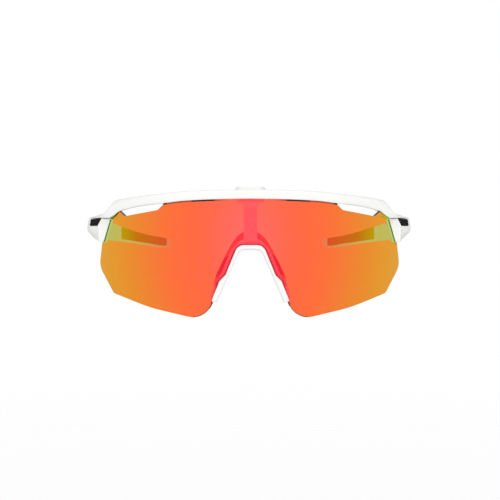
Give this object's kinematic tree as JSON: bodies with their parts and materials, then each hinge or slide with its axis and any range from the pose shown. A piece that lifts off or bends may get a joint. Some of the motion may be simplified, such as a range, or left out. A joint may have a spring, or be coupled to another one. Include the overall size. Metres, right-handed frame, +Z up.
{
  "type": "wraparound sport sunglasses",
  "caption": "Wraparound sport sunglasses: a one-piece mirrored shield lens under a white brow frame, with a clip-on nose bridge and folding temples.",
  "frame": {"origin": "centre of the flat underside of the nose bridge's arch, where the glasses sit on the nose", "axes": "+Z up as worn, -Y the way the wearer looks, +Y along the temples towards the ears, +X the wearer's left"},
  "size_m": [0.1504, 0.1568, 0.0563],
  "materials": {
    "frame_white": "smooth moulded white nylon, soft gloss",
    "lens_mirror": "polycarbonate with a red to orange mirror coating",
    "pad_rubber": "soft matt rubber",
    "grip_rubber": "ribbed matt rubber inlay",
    "plate_black": "satin black moulded nylon",
    "hinge_steel": "machined stainless steel",
    "insert_brass": "turned brass",
    "washer_nylon": "black nylon"
  },
  "bodies": {
    "front": {"brow_frame": "frame_white", "shield_lens": "lens_mirror", "nose_bridge": "frame_white", "nose_pad": "pad_rubber", "hinge_insert_left": "insert_brass", "hinge_insert_right": "insert_brass", "hinge_screw_left": "hinge_steel", "hinge_screw_right": "hinge_steel", "hinge_washer_left": "washer_nylon", "hinge_washer_right": "washer_nylon"},
    "temple_arm_left": {"temple_left": "frame_white", "temple_plate_left": "plate_black", "temple_grip_left": "grip_rubber"},
    "temple_arm_right": {"temple_right": "frame_white", "temple_plate_right": "plate_black", "temple_grip_right": "grip_rubber"}
  },
  "joints": [
    {"name": "hinge_left", "type": "hinge", "parent": "front", "child": "temple_arm_left", "pos_m": [0.065, 0.04, 0], "axis": [0, 0, 1], "range_deg": [0, 86]},
    {"name": "hinge_right", "type": "hinge", "parent": "front", "child": "temple_arm_right", "pos_m": [-0.065, 0.04, 0], "axis": [0, 0, -1], "range_deg": [0, 70]}
  ]
}
